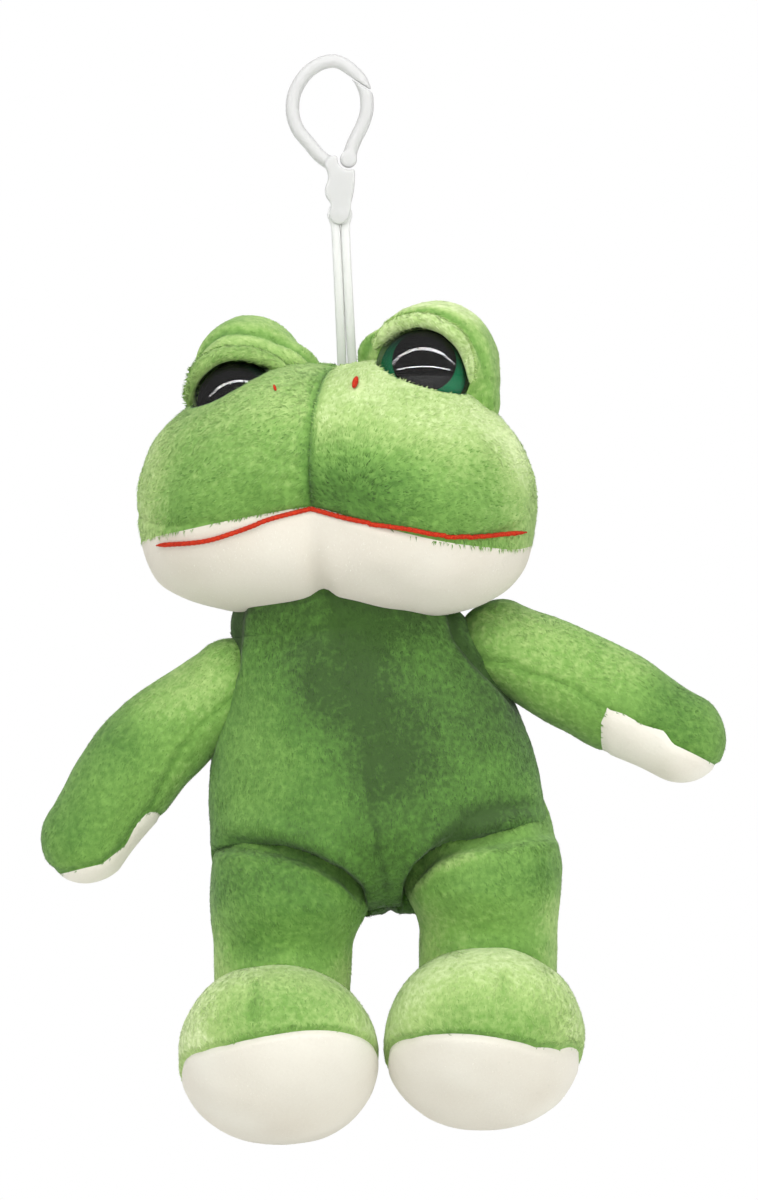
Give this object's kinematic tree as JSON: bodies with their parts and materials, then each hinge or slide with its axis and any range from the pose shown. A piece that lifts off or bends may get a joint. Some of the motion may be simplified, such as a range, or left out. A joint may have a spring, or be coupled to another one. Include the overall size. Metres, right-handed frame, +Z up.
{
  "type": "plush frog hanging charm",
  "caption": "Stuffed standing frog of short green plush with domed eyes, hanging by a doubled strap from a snap hook with a hinged gate.",
  "frame": {"origin": "highest point of the space inside the snap hook's ring, where it hangs", "axes": "+Z up along the hook, -Y the way the frog faces, +X the frog's left-hand side as it faces the viewer, which is the viewer's right"},
  "size_m": [0.1634, 0.0696, 0.2612],
  "materials": {
    "white_plastic": "translucent white moulded plastic",
    "green_plush": "short pile plush, green",
    "light_plush": "short pile plush, light green",
    "white_plush": "smooth off-white fleece",
    "stuffing": "polyester fibre filling",
    "white_thread": "sewing thread",
    "clear_dome": "clear acrylic dome",
    "green_iris": "green backing disc under the clear dome",
    "black_plastic": "black moulded plastic",
    "red_thread": "satin stitch embroidery thread"
  },
  "bodies": {
    "hook": {"hook_ring": "white_plastic"},
    "gate": {"hook_gate": "white_plastic"},
    "head": {"muzzle_left": "green_plush", "muzzle_right": "light_plush", "head_back_left": "green_plush", "head_back_right": "green_plush", "chin": "white_plush", "head_stuffing": "stuffing", "strap_tack": "white_thread", "eye_dome_left": "clear_dome", "eye_iris_left": "green_iris", "eye_pupil_left": "black_plastic", "eye_plate_left": "black_plastic", "eye_washer_left": "black_plastic", "eye_dome_right": "clear_dome", "eye_iris_right": "green_iris", "eye_pupil_right": "black_plastic", "eye_plate_right": "black_plastic", "eye_washer_right": "black_plastic", "eye_hood_left": "green_plush", "hood_stuffing_left": "stuffing", "eyelid_left": "green_plush", "eye_hood_right": "green_plush", "hood_stuffing_right": "stuffing", "eyelid_right": "green_plush", "mouth_stitch_left": "red_thread", "nostril_stitch_left": "red_thread", "mouth_stitch_right": "red_thread", "nostril_stitch_right": "red_thread"},
    "strap": {"strap": "white_plastic"},
    "torso": {"torso_front_left": "green_plush", "torso_back_left": "green_plush", "torso_front_right": "green_plush", "torso_back_right": "green_plush", "torso_stuffing": "stuffing"},
    "arm_left": {"arm_upper_left": "green_plush", "arm_under_left": "green_plush", "palm_left": "white_plush", "arm_stuffing_left": "stuffing"},
    "leg_left": {"leg_left": "green_plush", "leg_stuffing_left": "stuffing"},
    "foot_left": {"foot_top_left": "light_plush", "sole_left": "white_plush", "foot_stuffing_left": "stuffing"},
    "arm_right": {"arm_upper_right": "green_plush", "arm_under_right": "green_plush", "palm_right": "white_plush", "arm_stuffing_right": "stuffing"},
    "leg_right": {"leg_right": "green_plush", "leg_stuffing_right": "stuffing"},
    "foot_right": {"foot_top_right": "light_plush", "sole_right": "white_plush", "foot_stuffing_right": "stuffing"}
  },
  "joints": [
    {"name": "gate_hinge", "type": "hinge", "parent": "hook", "child": "gate", "pos_m": [0.00447, 0, -0.02181], "axis": [0, -1, 0], "range_deg": [0, 14], "stiffness_Nm_per_rad": 0.01, "springref_deg": -5.73},
    {"name": "strap_swing", "type": "hinge", "parent": "hook", "child": "strap", "pos_m": [0.0024, 0, -0.03515], "axis": [0, 1, 0], "range_deg": [-35, 35]},
    {"name": "head_swing", "type": "hinge", "parent": "strap", "child": "head", "pos_m": [0.00457, 0, -0.0796], "axis": [0, 1, 0], "range_deg": [-15, 15]},
    {"name": "neck_nod", "type": "hinge", "parent": "head", "child": "torso", "pos_m": [0.00562, -0.01232, -0.13367], "axis": [1, 0, 0], "range_deg": [-6, 6], "stiffness_Nm_per_rad": 0.15},
    {"name": "shoulder_left", "type": "hinge", "parent": "torso", "child": "arm_left", "pos_m": [-0.02338, -0.01232, -0.14707], "axis": [0, 1, 0], "range_deg": [-12, 60], "stiffness_Nm_per_rad": 0.03},
    {"name": "hip_left", "type": "hinge", "parent": "torso", "child": "leg_left", "pos_m": [-0.01098, -0.01432, -0.19937], "axis": [-1, 0, 0], "range_deg": [-20, 45], "stiffness_Nm_per_rad": 0.06},
    {"name": "ankle_left", "type": "hinge", "parent": "leg_left", "child": "foot_left", "pos_m": [-0.01098, -0.01432, -0.21887], "axis": [-1, 0, 0], "range_deg": [-12, 12], "stiffness_Nm_per_rad": 0.04},
    {"name": "shoulder_right", "type": "hinge", "parent": "torso", "child": "arm_right", "pos_m": [0.04062, -0.01232, -0.13767], "axis": [0, -1, 0], "range_deg": [-12, 60], "stiffness_Nm_per_rad": 0.03},
    {"name": "hip_right", "type": "hinge", "parent": "torso", "child": "leg_right", "pos_m": [0.03782, -0.01432, -0.19547], "axis": [-1, 0, 0], "range_deg": [-20, 45], "stiffness_Nm_per_rad": 0.06},
    {"name": "ankle_right", "type": "hinge", "parent": "leg_right", "child": "foot_right", "pos_m": [0.03782, -0.01432, -0.21497], "axis": [-1, 0, 0], "range_deg": [-12, 12], "stiffness_Nm_per_rad": 0.04}
  ]
}
